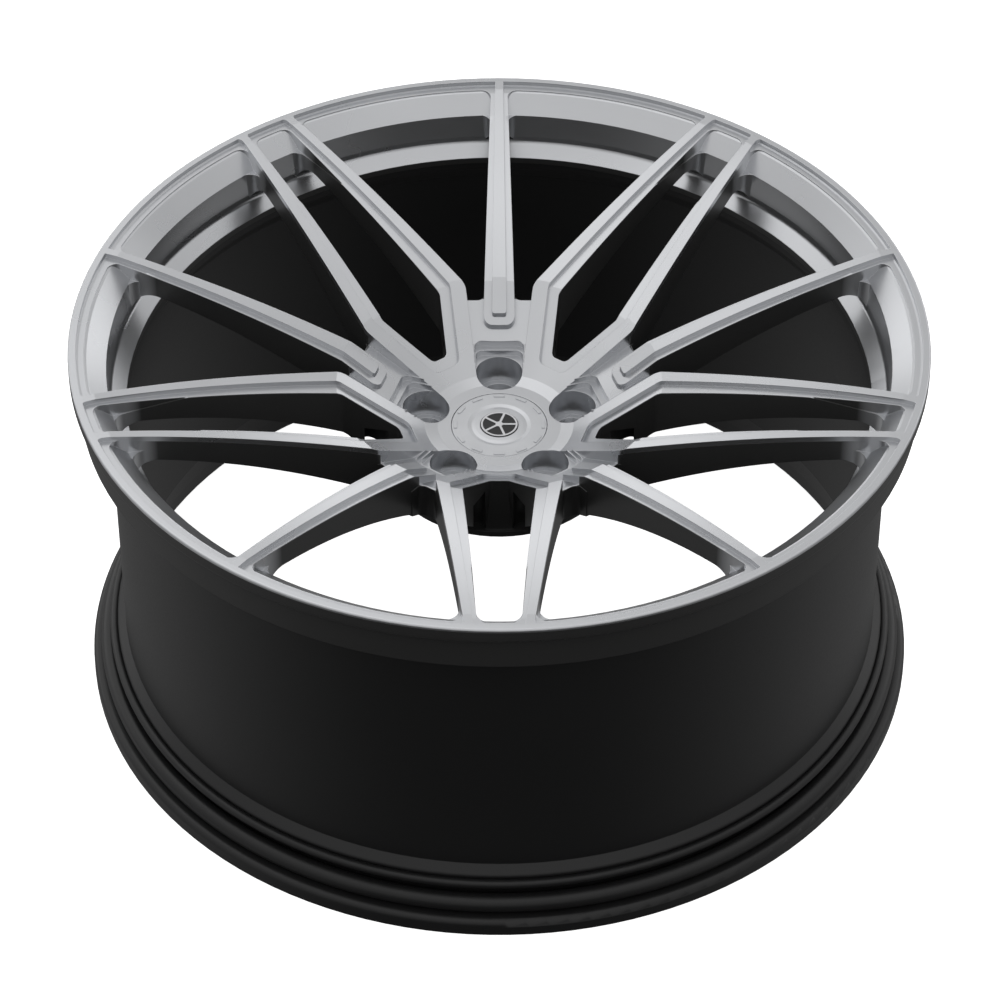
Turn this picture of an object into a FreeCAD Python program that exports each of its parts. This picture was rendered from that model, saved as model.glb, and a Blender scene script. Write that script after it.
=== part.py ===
import FreeCAD, Part
import math
import os

import Sketcher

os.makedirs("parts", exist_ok=True)

V = FreeCAD.Vector

# Forged road and circuit wheel, 20 x 9.5 J, five-lug, in millimetres.
# The wheel axis is Z, the face looks up (+Z) and the origin is midway between the two outer faces.
# Heights called "depth" are measured down from the outboard lip plane.

SPOKE_SETS = 5
SET_ANGLE = 360.0 / SPOKE_SETS
HALF_SET = SET_ANGLE / 2.0

DIMENSIONS = {
    # rim, both flanges
    "rim_r": 273.7, "rim_width": 266.2, "flange_w": 12.4, "flange_round": 4.5, "lip_round": 1.5,
    "bead_heel_round": 6.0, "bead_r": 256.4, "bead_toe_r": 255.2, "bead_toe_depth": 32.0,
    "hump_r": 256.9, "hump_depth": 35.5, "hump_round": 3.0, "well_r": 250.5, "well_start_depth": 41.5,
    # inside of the outboard ring, from the lip down to the joint
    "step_r": 268.6, "step_h": 3.0, "ledge_in_r": 262.0, "ledge_in_depth": 4.7,
    "bevel_r": 250.1, "bevel_depth": 15.0, "wall_r": 249.5, "wall_depth": 32.2,
    "shelf_r": 248.7, "shelf_depth": 36.3, "shelf_in_r": 238.8, "shelf_in_depth": 42.4, "shelf_round": 3.0,
    # welded joint between the face and the barrel
    "joint_in_depth": 46.8, "joint_out_depth": 44.0, "rabbet_r": 244.5, "weld_root_r": 247.5,
    "weld_half_w": 1.8, "weld_crown": 0.35, "joint_gap": 0.4,
    # barrel
    "barrel_in_r": 245.0, "shoulder_depth": 52.0, "barrel_in_depth": 62.0, "flare_depth": 222.0,
    "flare_r": 249.5, "flare_end_depth": 240.0, "flange_root_r": 252.5, "flange_root_depth": 254.5,
    "flange_back_r": 265.5, "flange_back_round": 6.0,
    # hub
    "hub_depth": 77.6, "pad_depth": 108.1, "pad_r": 75.0, "pad_h": 4.8, "bore_r": 28.55, "bore_chamfer": 1.0,
    "pilot_h": 11.5, "cap_bore_r": 27.5,
    "cap_seat_r": 31.3, "cap_seat_h": 3.2, "hub_block_r": 72.5, "hub_block_top_r": 66.0,
    "hub_block_top_depth": 71.0, "scallop_r": 11.0, "scallop_u": 75.5, "scallop_v": 19.5,
    # raised top surface of the hub and spokes, radius and depth of its knots
    "cone_in_r": 45.0, "cone_out_r": 104.5, "cone_out_depth": 39.2, "crown_mid_r": 160.0,
    "crown_mid_depth": 21.8, "crown_out_r": 260.0, "crown_out_depth": 0.3,
    # rear surface of the spokes
    "back_in_r": 98.0, "back_in_depth": 78.6, "back_mid_r": 158.0, "back_mid_depth": 47.2,
    "back_out_r": 231.0, "back_out_depth": 24.4, "back_bend_r": 243.0, "back_bend_depth": 26.8,
    "back_foot_r": 249.2, "back_foot_depth": 34.5,
    # closed windows, along and across their own centreline
    "win_step_in_u": 57.5, "win_step_in_v": 9.75, "win_step_kink_u": 97.8, "win_step_kink_v": 31.0,
    "win_step_out_v": 15.1, "win_in_u": 66.0, "win_in_v": 5.4, "win_kink_u": 98.5, "win_kink_v": 23.1,
    "win_out_v": 13.3, "win_round": 4.5, "win_step_round": 6.0, "win_end_round": 7.0, "post_round": 9.0,
    # open windows and the single spoke, along and across the single spoke
    "arm_in_u": 98.6, "arm_in_v": 22.3, "arm_out_u": 228.6, "arm_out_v": 140.5, "arm_round": 9.0,
    "notch_u": 97.5, "notch_round": 4.5, "spoke_in_v": 10.4, "spoke_out_v": 5.5, "spoke_tip_u": 78.8,
    "spoke_round": 5.5, "ridge_in_v": 4.8, "ridge_out_v": 2.7, "ridge_tip_u": 83.4, "ridge_round": 1.6,
    "ledge_drop": 3.3,
    # lug pockets
    "lug_pcd": 100.0, "lug_bore_r": 15.2, "lug_bore_depth": 95.0, "lug_hole_r": 7.25, "lug_cone_r": 11.6,
    "lug_cone_depth": 102.4, "floor_in_r": 71.0, "floor_in_depth": 66.8, "floor_out_r": 98.0,
    "floor_out_depth": 53.3, "terrace_one_u": 71.2, "terrace_one_depth": 70.7, "terrace_one_v": 16.2,
    "terrace_two_u": 66.6, "terrace_two_depth": 75.0, "terrace_two_v": 15.4, "terrace_round": 5.0,
    # centre cap
    "cap_r": 31.0, "cap_plate_h": 1.5, "cap_pad_h": 0.3, "cap_pad_r": 30.0, "cap_flange_h": 1.4,
    "cap_leg_r": 27.4, "cap_leg_in_r": 25.2, "cap_leg_len": 14.5, "cap_slot_w": 5.0, "cap_slot_len": 13.0,
    "cap_legs": 8.0, "cap_barb_h": 3.0, "cap_barb_relief": 0.35, "cap_groove_in": 0.5, "cap_wire_r": 0.7,
    "cap_chamfer": 0.3, "cap_dish_in_r": 15.5, "cap_dish_in_h": 0.2, "cap_dish_mid_r": 18.0,
    "cap_dish_out_r": 20.5, "cap_dish_h": 0.7, "cap_dash_in_r": 27.3, "cap_dash_out_r": 29.6,
    "cap_dash_w": 7.4, "cap_dash_h": 0.5, "cap_dash_round": 0.6, "cap_dashes": 12.0,
    "badge_r": 12.4, "badge_h": 0.6, "badge_seat_h": 0.4, "badge_gap": 0.15, "badge_chamfer": 0.12,
    "emblem_out_r": 11.9, "emblem_in_r": 10.7, "emblem_h": 0.4, "emblem_hub_r": 2.4, "emblem_bar_w": 1.5,
    "emblem_bars": 5.0,
    # tyre valve: lengths run along its axis, inward from its seat on the barrel's inner wall
    "valve_depth": 73.0, "valve_seat_r": 245.15, "valve_tyre_r": 250.1, "valve_hole_r": 5.65,
    "valve_flat_r": 9.6, "valve_cut_len": 12.0, "grommet_r": 8.0, "grommet_h": 2.3, "grommet_neck_r": 5.6,
    "grommet_neck_h": 3.4, "stem_r": 3.85, "stem_head_r": 8.2, "stem_head_h": 2.4, "stem_head_round": 0.8,
    "stem_len": 31.0, "stem_tip_r": 3.7, "stem_tip_len": 9.0, "stem_bore_r": 1.9, "stem_throat_r": 1.1,
    "stem_throat_len": 11.0, "core_seat_len": 20.8, "washer_r": 7.6, "washer_h": 1.2, "thread_gap": 0.05,
    "nut_corner_r": 6.9, "nut_h": 5.0, "core_r": 2.6, "core_neck_r": 1.5, "core_low_len": 20.2,
    "core_shoulder_len": 23.4, "core_top_len": 30.0, "core_bore_r": 0.62, "core_mouth_r": 0.95,
    "core_mouth_len": 26.0, "core_bridge_w": 3.0, "core_bridge_h": 2.4, "pin_r": 0.55, "pin_low_len": 17.2,
    "pin_head_r": 0.8, "pin_head_h": 0.6, "pin_top_len": 30.7, "plunger_r": 1.5, "plunger_h": 1.5,
    "spring_r": 1.45, "spring_wire_r": 0.2, "spring_coils": 7.0, "vcap_r": 4.9, "vcap_start_len": 22.6,
    "vcap_tip_gap": 0.06, "vcap_seal_r": 3.7, "vcap_seal_h": 0.8, "vcap_top_h": 1.6, "vcap_round": 0.8,
    "vcap_flutes": 12.0, "vcap_flute_r": 0.55, "vcap_flute_at_r": 5.15,
}


class Dim:
    """A size from the sheet, kept with the expression that drives it."""

    def __init__(self, value, text):
        self.value = float(value)
        self.text = text

    def _with(self, other, sign, result):
        text = other.text if isinstance(other, Dim) else repr(other)
        return Dim(result, "({} {} {})".format(self.text, sign, text))

    def __add__(self, other):
        return self._with(other, "+", self.value + number(other))

    def __sub__(self, other):
        return self._with(other, "-", self.value - number(other))

    def __mul__(self, other):
        return self._with(other, "*", self.value * number(other))

    def __truediv__(self, other):
        return self._with(other, "/", self.value / number(other))


def number(size):
    return size.value if isinstance(size, Dim) else float(size)


class Sizes:
    """Every sheet entry as an attribute that carries its value and its cell."""

    def __init__(self, doc):
        self.sheet = doc.addObject("Spreadsheet::Sheet", "Sizes")
        for row, (name, value) in enumerate(DIMENSIONS.items(), start=1):
            self.sheet.set("A{}".format(row), name)
            self.sheet.set("B{}".format(row), str(value))
            self.sheet.setAlias("B{}".format(row), name)
        doc.recompute()
        for name in DIMENSIONS:
            setattr(self, name, Dim(self.sheet.get(name), "Sizes.{}".format(name)))


doc = FreeCAD.newDocument("forged_wheel")
S = Sizes(doc)
ZERO = Dim(0, "0")
HALF_WIDTH = S.rim_width / 2


# ---------------------------------------------------------------- sketches and turned bodies

def corner_points(points, index):
    """Tangent points and arc middle of the rounded corner at index of a closed chain."""
    before, here, after = (points[(index + k) % len(points)] for k in (-1, 0, 1))
    corner = V(number(here[0]), number(here[1]), 0)
    into = (V(number(before[0]), number(before[1]), 0) - corner).normalize()
    out = (V(number(after[0]), number(after[1]), 0) - corner).normalize()
    half = into.getAngle(out) / 2.0
    radius = number(here[2])
    reach = radius / math.tan(half)
    centre = corner + (into + out).normalize() * (radius / math.sin(half))
    middle = centre + (corner - centre).normalize() * radius
    return corner + into * reach, middle, corner + out * reach, centre


def closed_sketch(sketch, points):
    """Draw a closed chain through points, rounding those that carry a radius, all bound to the sheet."""
    count = len(points)
    rounded = [len(p) == 3 for p in points]
    spans = [corner_points(points, i) if rounded[i] else None for i in range(count)]
    plain = [V(number(p[0]), number(p[1]), 0) for p in points]
    lines, arcs = [], {}
    for i in range(count):
        after = (i + 1) % count
        start = spans[i][2] if rounded[i] else plain[i]
        end = spans[after][0] if rounded[after] else plain[after]
        lines.append(sketch.addGeometry(Part.LineSegment(start, end), False))
    for i in range(count):
        if rounded[i]:
            first, middle, last, _ = spans[i]
            arcs[i] = sketch.addGeometry(Part.ArcOfCircle(Part.Arc(first, middle, last).toShape().Curve,
                                                          *arc_range(first, middle, last)), False)
    for i in range(count):
        before = lines[i - 1]
        here = lines[i]
        if rounded[i]:
            join_corner(sketch, spans[i], arcs[i], before, here)
            mark = sketch.addGeometry(Part.Point(plain[i]), True)
            sketch.addConstraint(Sketcher.Constraint("PointOnObject", mark, 1, before))
            sketch.addConstraint(Sketcher.Constraint("PointOnObject", mark, 1, here))
            pin_point(sketch, mark, 1, points[i], i)
            bind(sketch, Sketcher.Constraint("Radius", arcs[i], number(points[i][2])), points[i][2], "r", i)
        else:
            sketch.addConstraint(Sketcher.Constraint("Coincident", before, 2, here, 1))
            pin_point(sketch, here, 1, points[i], i)


def arc_range(first, middle, last):
    """Parameters of an arc on the circle through three points."""
    circle = Part.Arc(first, middle, last).toShape()
    return circle.FirstParameter, circle.LastParameter


def join_corner(sketch, span, arc, before, here):
    """Make the arc tangent to both lines, whichever way round it runs."""
    geometry = sketch.Geometry[arc]
    starts_first = geometry.StartPoint.distanceToPoint(span[0]) < geometry.StartPoint.distanceToPoint(span[2])
    first_end, last_end = (1, 2) if starts_first else (2, 1)
    sketch.addConstraint(Sketcher.Constraint("Tangent", before, 2, arc, first_end))
    sketch.addConstraint(Sketcher.Constraint("Tangent", here, 1, arc, last_end))


def bind(sketch, constraint, size, letter, index):
    row = sketch.addConstraint(constraint)
    if isinstance(size, Dim):
        name = "{}{}".format(letter, index)
        sketch.renameConstraint(row, name)
        sketch.setExpression("Constraints.{}".format(name), size.text)


def pin_point(sketch, geometry, end, point, index):
    bind(sketch, Sketcher.Constraint("DistanceX", geometry, end, number(point[0])), point[0], "x", index)
    bind(sketch, Sketcher.Constraint("DistanceY", geometry, end, number(point[1])), point[1], "y", index)


def origin_feature(body, role):
    return next(f for f in body.Origin.OriginFeatures if f.Role == role)


def new_body(label):
    body = doc.addObject("PartDesign::Body", label)
    body.Label = label
    return body


def sketch_on(body, role, name, points):
    sketch = body.newObject("Sketcher::SketchObject", name)
    sketch.AttachmentSupport = [(origin_feature(body, role), "")]
    sketch.MapMode = "FlatFace"
    closed_sketch(sketch, points)
    return sketch


def turn(body, points, kind="PartDesign::Revolution", name="Turned"):
    """Turn a section, given as radius and height, about the body's Z axis."""
    sketch = sketch_on(body, "XZ_Plane", "{}_{}_section".format(body.Name, name), points)
    turned = body.newObject(kind, "{}_{}".format(body.Name, name))
    turned.Profile = sketch
    turned.ReferenceAxis = (sketch, ["V_Axis"])
    turned.Angle = 360
    sketch.Visibility = False
    doc.recompute()
    return turned


def circle_sketch(body, role, name, radius, centre=None):
    sketch = body.newObject("Sketcher::SketchObject", name)
    sketch.AttachmentSupport = [(origin_feature(body, role), "")]
    sketch.MapMode = "FlatFace"
    at = centre or (ZERO, ZERO)
    ring = sketch.addGeometry(Part.Circle(V(number(at[0]), number(at[1]), 0), V(0, 0, 1), number(radius)), False)
    bind(sketch, Sketcher.Constraint("Radius", ring, number(radius)), radius, "r", 0)
    pin_point(sketch, ring, 3, at, 0)
    return sketch


def pocket(body, sketch, length, name, reverse=False):
    """Cut a pocket and confirm that it removed material."""
    before = body.Shape.Volume
    cut = body.newObject("PartDesign::Pocket", name)
    cut.Profile = sketch
    cut.Length = number(length)
    cut.setExpression("Length", length.text)
    cut.Reversed = reverse
    doc.recompute()
    if not body.Shape.Volume < before - 1e-6:
        raise RuntimeError("{} cut nothing".format(name))
    return cut


def polar(body, feature, count, name):
    """Repeat a feature round the body's Z axis."""
    ring = body.newObject("PartDesign::PolarPattern", name)
    ring.Originals = [feature]
    ring.Axis = (origin_feature(body, "Z_Axis"), [""])
    ring.Angle = 360
    ring.Occurrences = int(count.value)
    ring.setExpression("Occurrences", count.text)
    body.Tip = ring
    doc.recompute()
    return ring


def rectangle(low_x, low_y, high_x, high_y):
    return [(low_x, low_y), (high_x, low_y), (high_x, high_y), (low_x, high_y)]


def height(depth):
    """Height above the row's origin of something at a depth under the lip plane."""
    return HALF_WIDTH.value - number(depth)


def place(obj, base, rotation=None):
    obj.Placement = FreeCAD.Placement(base, rotation or FreeCAD.Rotation())


# ---------------------------------------------------------------- forged face

def flat_wire(points):
    """Closed wire in the XY plane through points, with rounded corners where a radius is given."""
    edges = []
    count = len(points)
    spans = [corner_points(points, i) if len(points[i]) == 3 else None for i in range(count)]
    for i in range(count):
        after = (i + 1) % count
        start = spans[i][2] if spans[i] else V(number(points[i][0]), number(points[i][1]), 0)
        end = spans[after][0] if spans[after] else V(number(points[after][0]), number(points[after][1]), 0)
        if spans[i]:
            edges.append(Part.Arc(spans[i][0], spans[i][1], spans[i][2]).toShape())
        if start.distanceToPoint(end) > 1e-6:
            edges.append(Part.LineSegment(start, end).toShape())
    return Part.Wire(edges)


def prism(points, low, high):
    """Upright solid over a plan outline between two depths under the lip plane."""
    face = Part.Face(flat_wire(points))
    face.translate(V(0, 0, height(low)))
    return face.extrude(V(0, 0, height(high) - height(low)))


def spin(solid, bearing):
    """Turn a solid drawn along +X to a bearing, clockwise from +Y."""
    turned = solid.copy()
    turned.rotate(V(0, 0, 0), V(0, 0, 1), 90.0 - bearing)
    return turned


def around(solid, first_bearing):
    return [spin(solid, first_bearing + k * SET_ANGLE) for k in range(SPOKE_SETS)]


def mirrored(solid):
    return solid.mirror(V(0, 0, 0), V(0, 1, 0))


def section_edge(radius, depth):
    return V(number(radius), 0, height(depth))


def lathe(edges):
    """Solid of revolution about Z from the edges of a closed section in the XZ plane."""
    return Part.Face(Part.Wire(edges)).revolve(V(0, 0, 0), V(0, 0, 1), 360)


def lathe_outline(points):
    """Solid of revolution from a closed chain of (radius, depth[, round]) points."""
    flat = [(p[0], height(p[1])) + tuple(p[2:]) for p in points]
    face = Part.Face(flat_wire(flat))
    face.rotate(V(0, 0, 0), V(1, 0, 0), 90)
    return face.revolve(V(0, 0, 0), V(0, 0, 1), 360)


def line(a, b):
    return Part.LineSegment(a, b).toShape()


def crown_edges(drop):
    """Top surface of hub and spokes, lowered by drop: flat hub, cone, then a shallow arc to the lip."""
    inner = section_edge(S.cap_bore_r, S.hub_depth + drop)
    cone_in = section_edge(S.cone_in_r, S.hub_depth + drop)
    cone_out = section_edge(S.cone_out_r, S.cone_out_depth + drop)
    middle = section_edge(S.crown_mid_r, S.crown_mid_depth + drop)
    outer = section_edge(S.crown_out_r, S.crown_out_depth + drop)
    edge = section_edge(S.step_r, ZERO + drop)
    return [line(inner, cone_in), line(cone_in, cone_out), Part.Arc(cone_out, middle, outer).toShape(),
            line(outer, edge)]


def spoke_blank(drop):
    """Disc between the rear surface and the crown lowered by drop."""
    crown = crown_edges(drop)
    edge_foot = section_edge(S.step_r, S.back_foot_depth)
    foot = section_edge(S.back_foot_r, S.back_foot_depth)
    bend = section_edge(S.back_bend_r, S.back_bend_depth)
    rear_out = section_edge(S.back_out_r, S.back_out_depth)
    rear_mid = section_edge(S.back_mid_r, S.back_mid_depth)
    rear_in = section_edge(S.back_in_r, S.back_in_depth)
    block = section_edge(S.hub_block_r, S.pad_depth - S.pad_h)
    block_in = section_edge(S.cap_bore_r, S.pad_depth - S.pad_h)
    edges = crown + [line(crown[-1].Vertexes[-1].Point, edge_foot), line(edge_foot, foot),
                     Part.Arc(foot, bend, rear_out).toShape(), Part.Arc(rear_out, rear_mid, rear_in).toShape(),
                     line(rear_in, block), line(block, block_in), line(block_in, crown[0].Vertexes[0].Point)]
    return lathe(edges)


def pocket_blank():
    """Disc under the sloping floor of the lug pockets."""
    return lathe_outline([(S.cap_bore_r, S.floor_in_depth), (S.floor_in_r, S.floor_in_depth),
                          (S.floor_out_r, S.floor_out_depth), (S.arm_in_u + S.arm_round, S.floor_out_depth),
                          (S.arm_in_u + S.arm_round, S.back_in_depth - S.arm_round / 2),
                          (S.back_in_r, S.back_in_depth), (S.hub_block_r, S.pad_depth - S.pad_h),
                          (S.cap_bore_r, S.pad_depth - S.pad_h)])


def outer_ring():
    """Outboard flange, bead seat and the stepped inner wall that the spokes run into."""
    return lathe_outline([
        (S.step_r, ZERO), (S.rim_r, ZERO, S.lip_round), (S.rim_r, S.flange_w, S.flange_round),
        (S.bead_r, S.flange_w, S.bead_heel_round), (S.bead_toe_r, S.bead_toe_depth, S.hump_round),
        (S.hump_r, S.hump_depth, S.hump_round), (S.well_r, S.well_start_depth),
        (S.well_r, S.joint_out_depth - S.weld_half_w), (S.weld_root_r, S.joint_out_depth),
        (S.rabbet_r, S.joint_out_depth), (S.rabbet_r, S.joint_in_depth), (S.shelf_in_r, S.joint_in_depth),
        (S.shelf_in_r, S.shelf_in_depth), (S.shelf_r, S.shelf_depth, S.shelf_round),
        (S.wall_r, S.wall_depth), (S.bevel_r, S.bevel_depth), (S.ledge_in_r, S.ledge_in_depth),
        (S.step_r, S.step_h)])


def along_arm(radius):
    """Point at a radius on the arm's straight open side, in the single spoke's frame."""
    ax, ay = S.arm_in_u.value, S.arm_in_v.value
    bx, by = S.arm_out_u.value, S.arm_out_v.value
    dx, dy = bx - ax, by - ay
    a, b, c = dx * dx + dy * dy, 2 * (ax * dx + ay * dy), ax * ax + ay * ay - number(radius) ** 2
    t = (-b + math.sqrt(b * b - 4 * a * c)) / (2 * a)
    return V(ax + t * dx, ay + t * dy, 0)


def on_circle(radius, v):
    return V(math.sqrt(number(radius) ** 2 - number(v) ** 2), number(v), 0)


def rim_arc(start, end, radius):
    """Arc about the wheel axis between two points at the same radius."""
    middle = (start + end).normalize() * number(radius)
    return Part.Arc(start, middle, end).toShape()


def rounded_prism(edges, low, high, rounds):
    """Upright solid over a closed chain of edges; rounds lists plan points and their corner radii."""
    face = Part.Face(Part.Wire(edges))
    face.translate(V(0, 0, height(low)))
    solid = face.extrude(V(0, 0, height(high) - height(low)))
    for radius in sorted({number(r) for _, r in rounds}):
        marks = [p for p, r in rounds if number(r) == radius]
        picked = [e for e in solid.Edges if is_upright(e) and
                  any(math.hypot(e.Vertexes[0].X - p.x, e.Vertexes[0].Y - p.y) < 1e-3 for p in marks)]
        solid = solid.makeFillet(radius, picked)
    return solid


def is_upright(edge):
    a, b = edge.Vertexes[0].Point, edge.Vertexes[-1].Point
    return math.hypot(a.x - b.x, a.y - b.y) < 1e-6 and abs(a.z - b.z) > 1e-3


def arm_gap(low, high):
    """Everything between two arms: the lug pocket and both open windows, single spoke included."""
    reach = S.step_r + S.step_h / 2
    inner = S.lug_pcd / 2 - S.lug_bore_r
    start = V(S.lug_pcd.value / 2, S.lug_bore_r.value, 0)
    kink = V(S.arm_in_u.value, S.arm_in_v.value, 0)
    rim = along_arm(reach)
    flip = [V(p.x, -p.y, 0) for p in (start, kink, rim)]
    edges = [Part.Arc(flip[0], V(inner.value, 0, 0), start).toShape(), line(start, kink), line(kink, rim),
             rim_arc(rim, flip[2], reach), line(flip[2], flip[1]), line(flip[1], flip[0])]
    return rounded_prism(edges, low, high, [(kink, S.arm_round), (flip[1], S.arm_round),
                                            (rim, S.win_round), (flip[2], S.win_round)])


def open_window(low, high, reach, end_round):
    """Through opening between the single spoke and one arm, out to a radius on the ring."""
    corner = V(S.notch_u.value, S.spoke_in_v.value, 0)
    slope = (S.arm_out_v.value - S.arm_in_v.value) / (S.arm_out_u.value - S.arm_in_u.value)
    arm = V(S.notch_u.value, S.arm_in_v.value - slope * (S.arm_in_u.value - S.notch_u.value), 0)
    rim = along_arm(reach)
    spoke = on_circle(reach, S.spoke_out_v)
    edges = [line(corner, arm), line(arm, rim), rim_arc(rim, spoke, reach), line(spoke, corner)]
    return rounded_prism(edges, low, high, [(corner, S.notch_round), (arm, S.notch_round),
                                            (rim, end_round), (spoke, end_round)])


def closed_window(low, high, reach, end_round):
    """Through opening between a pair of arms, out to a radius on the ring."""
    inner = V(S.win_in_u.value, S.win_in_v.value, 0)
    kink = V(S.win_kink_u.value, S.win_kink_v.value, 0)
    rim = on_circle(reach, S.win_out_v)
    flip = [V(p.x, -p.y, 0) for p in (inner, kink, rim)]
    edges = [line(flip[0], inner), line(inner, kink), line(kink, rim), rim_arc(rim, flip[2], reach),
             line(flip[2], flip[1]), line(flip[1], flip[0])]
    return rounded_prism(edges, low, high, [(inner, S.win_round), (flip[0], S.win_round),
                                            (kink, S.win_round), (flip[1], S.win_round),
                                            (rim, end_round), (flip[2], end_round)])


def closed_step(low, high, grow=0.0):
    """Plan of the recessed border round a closed window, grown sideways by grow."""
    reach = S.step_r + S.step_h / 2
    rim = on_circle(reach, S.win_step_out_v + grow)
    outline = [(S.win_step_in_u - grow, S.win_step_in_v + grow / 2, S.win_step_round),
               (S.win_step_kink_u, S.win_step_kink_v + grow, S.win_step_round),
               (rim.x, rim.y, S.win_round)]
    outline += [(p[0], ZERO - p[1], p[2]) if isinstance(p[1], Dim) else (p[0], -p[1], p[2])
                for p in reversed(outline)]
    return prism(outline, low, high)


def single_spoke(low, high, tip_u, in_v, out_v, tip_round):
    """Plan of the single spoke or of the ridge along its top."""
    rim = on_circle(S.step_r + S.step_h / 2, out_v)
    outline = [(tip_u, in_v, tip_round), (rim.x, rim.y)]
    outline = [(tip_u, ZERO - in_v, tip_round)] + outline + [(rim.x, -rim.y)]
    return prism(outline, low, high)


def pocket_level(depth, outer_u, half_v, corner):
    """One level of the terraced lug pocket, open towards the hub."""
    inner = S.lug_pcd / 2
    low = ZERO - half_v
    return prism([(inner, low), (outer_u, low, corner), (outer_u, half_v, corner), (inner, half_v)],
                 depth, S.hub_depth - S.pad_depth)


def lug_tools():
    """Terraces, counterbore, conical seat and stud hole of one lug."""
    at = V(S.lug_pcd.value / 2, 0, 0)
    above = height(S.floor_in_depth) + S.pad_h.value
    bore = Part.makeCylinder(S.lug_bore_r.value, above - height(S.lug_bore_depth),
                             at + V(0, 0, height(S.lug_bore_depth)))
    cone = Part.makeCone(S.lug_hole_r.value, S.lug_cone_r.value,
                         height(S.lug_bore_depth) - height(S.lug_cone_depth),
                         at + V(0, 0, height(S.lug_cone_depth)))
    stud = Part.makeCylinder(S.lug_hole_r.value, S.pad_depth.value - S.lug_bore_depth.value + S.pad_h.value,
                             at + V(0, 0, height(S.pad_depth + S.pad_h / 2)))
    return [pocket_level(S.terrace_one_depth, S.terrace_one_u, S.terrace_one_v, S.terrace_round),
            pocket_level(S.terrace_two_depth, S.terrace_two_u, S.terrace_two_v, S.terrace_round),
            bore, cone, stud]


def hub_block():
    """Rear hub: the mounting pad and the body that rises from it to the windows."""
    return lathe_outline([(S.cap_bore_r, S.pad_depth), (S.pad_r, S.pad_depth, S.bore_chamfer),
                          (S.pad_r, S.pad_depth - S.pad_h), (S.hub_block_r, S.pad_depth - S.pad_h),
                          (S.hub_block_top_r, S.hub_block_top_depth),
                          (S.cap_bore_r, S.hub_depth + S.cap_seat_h)])


def scallops():
    """Upright flutes in the hub body on both sides of one closed window's centreline."""
    low, high = height(S.pad_depth - S.pad_h), height(S.hub_block_top_depth)
    flute = Part.makeCylinder(S.scallop_r.value, high - low, V(S.scallop_u.value, S.scallop_v.value, low))
    return [flute, mirrored(flute)]


def forged_face():
    top, bottom = ZERO - S.flange_w, S.pad_depth + S.flange_w
    full = spoke_blank(ZERO)
    ledge = spoke_blank(S.ledge_drop)
    split = S.bevel_depth - S.lip_round / 10
    upper_reach, lower_reach = S.ledge_in_r + S.lip_round, S.wall_r + S.lip_round

    arms = full.cut(around(closed_step(bottom, top), HALF_SET) + around(arm_gap(bottom, top), 0))
    borders = ledge.common(Part.makeCompound(around(closed_step(bottom, top, S.ledge_drop.value), HALF_SET)))
    spokes = ledge.common(Part.makeCompound(around(
        single_spoke(bottom, top, S.spoke_tip_u, S.spoke_in_v, S.spoke_out_v, S.spoke_round), 0)))
    ridges = full.common(Part.makeCompound(around(
        single_spoke(bottom, top, S.ridge_tip_u, S.ridge_in_v, S.ridge_out_v, S.ridge_round), 0)))
    floors = pocket_blank().common(Part.makeCompound(around(arm_gap(bottom, top), 0)))
    corners = ledge.common(Part.makeCompound(around(arm_gap(bottom, top), 0)))
    corners = corners.cut([Part.makeCylinder(S.shelf_in_r.value, number(bottom) * 2,
                                             V(0, 0, height(bottom)))])
    body = arms.fuse([borders, corners, floors])

    openings = []
    for reach, end_round, low, high in ((upper_reach, S.win_end_round, split, top),
                                        (lower_reach, S.post_round, bottom, split)):
        openings += around(closed_window(low, high, reach, end_round), HALF_SET)
        side = open_window(low, high, reach, end_round)
        openings += around(side, 0) + around(mirrored(side), 0)
    body = body.cut(openings)
    body = body.fuse([spokes, ridges, outer_ring(), hub_block()])

    tools = []
    for tool in lug_tools():
        tools += around(tool, 0)
    for tool in scallops():
        tools += around(tool, HALF_SET)
    tools.append(Part.makeCylinder(S.cap_seat_r.value, S.cap_seat_h.value * 2,
                                   V(0, 0, height(S.hub_depth + S.cap_seat_h))))
    tools.append(Part.makeCylinder(S.cap_bore_r.value, S.pad_depth.value, V(0, 0, height(S.pad_depth + S.pad_h))))
    tools.append(Part.makeCylinder(S.bore_r.value, S.pilot_h.value, V(0, 0, height(S.pad_depth))))
    tools.append(Part.makeCone(S.bore_r.value + S.bore_chamfer.value, S.bore_r.value, S.bore_chamfer.value,
                               V(0, 0, height(S.pad_depth))))
    return body.cut(tools)


face = doc.addObject("Part::Feature", "forged_face")
face.Label = "forged_face"
face.Shape = forged_face().removeSplitter()
place(face, V(0, 0, 0))


# ---------------------------------------------------------------- barrel and weld

def from_inboard(depth):
    """Height over the inboard face of something at a depth under the lip plane."""
    return S.rim_width - depth


def place_ring(body):
    """Put a piece drawn up from the inboard face of the rim."""
    place(body, V(0, 0, -HALF_WIDTH.value))
    body.setExpression("Placement.Base.z", "-" + HALF_WIDTH.text)


def side_pocket(body, name, radius, at_r, length, inward):
    """Round pocket along Y at the valve's place, from a radius of the barrel inward or outward."""
    sketch = circle_sketch(body, "XZ_Plane", name + "_plan", radius, (ZERO, from_inboard(S.valve_depth)))
    sketch.AttachmentOffset = FreeCAD.Placement(V(0, 0, -at_r.value), FreeCAD.Rotation())
    sketch.setExpression(".AttachmentOffset.Base.z", "-" + at_r.text)
    pocket(body, sketch, length, name, inward)


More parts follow.
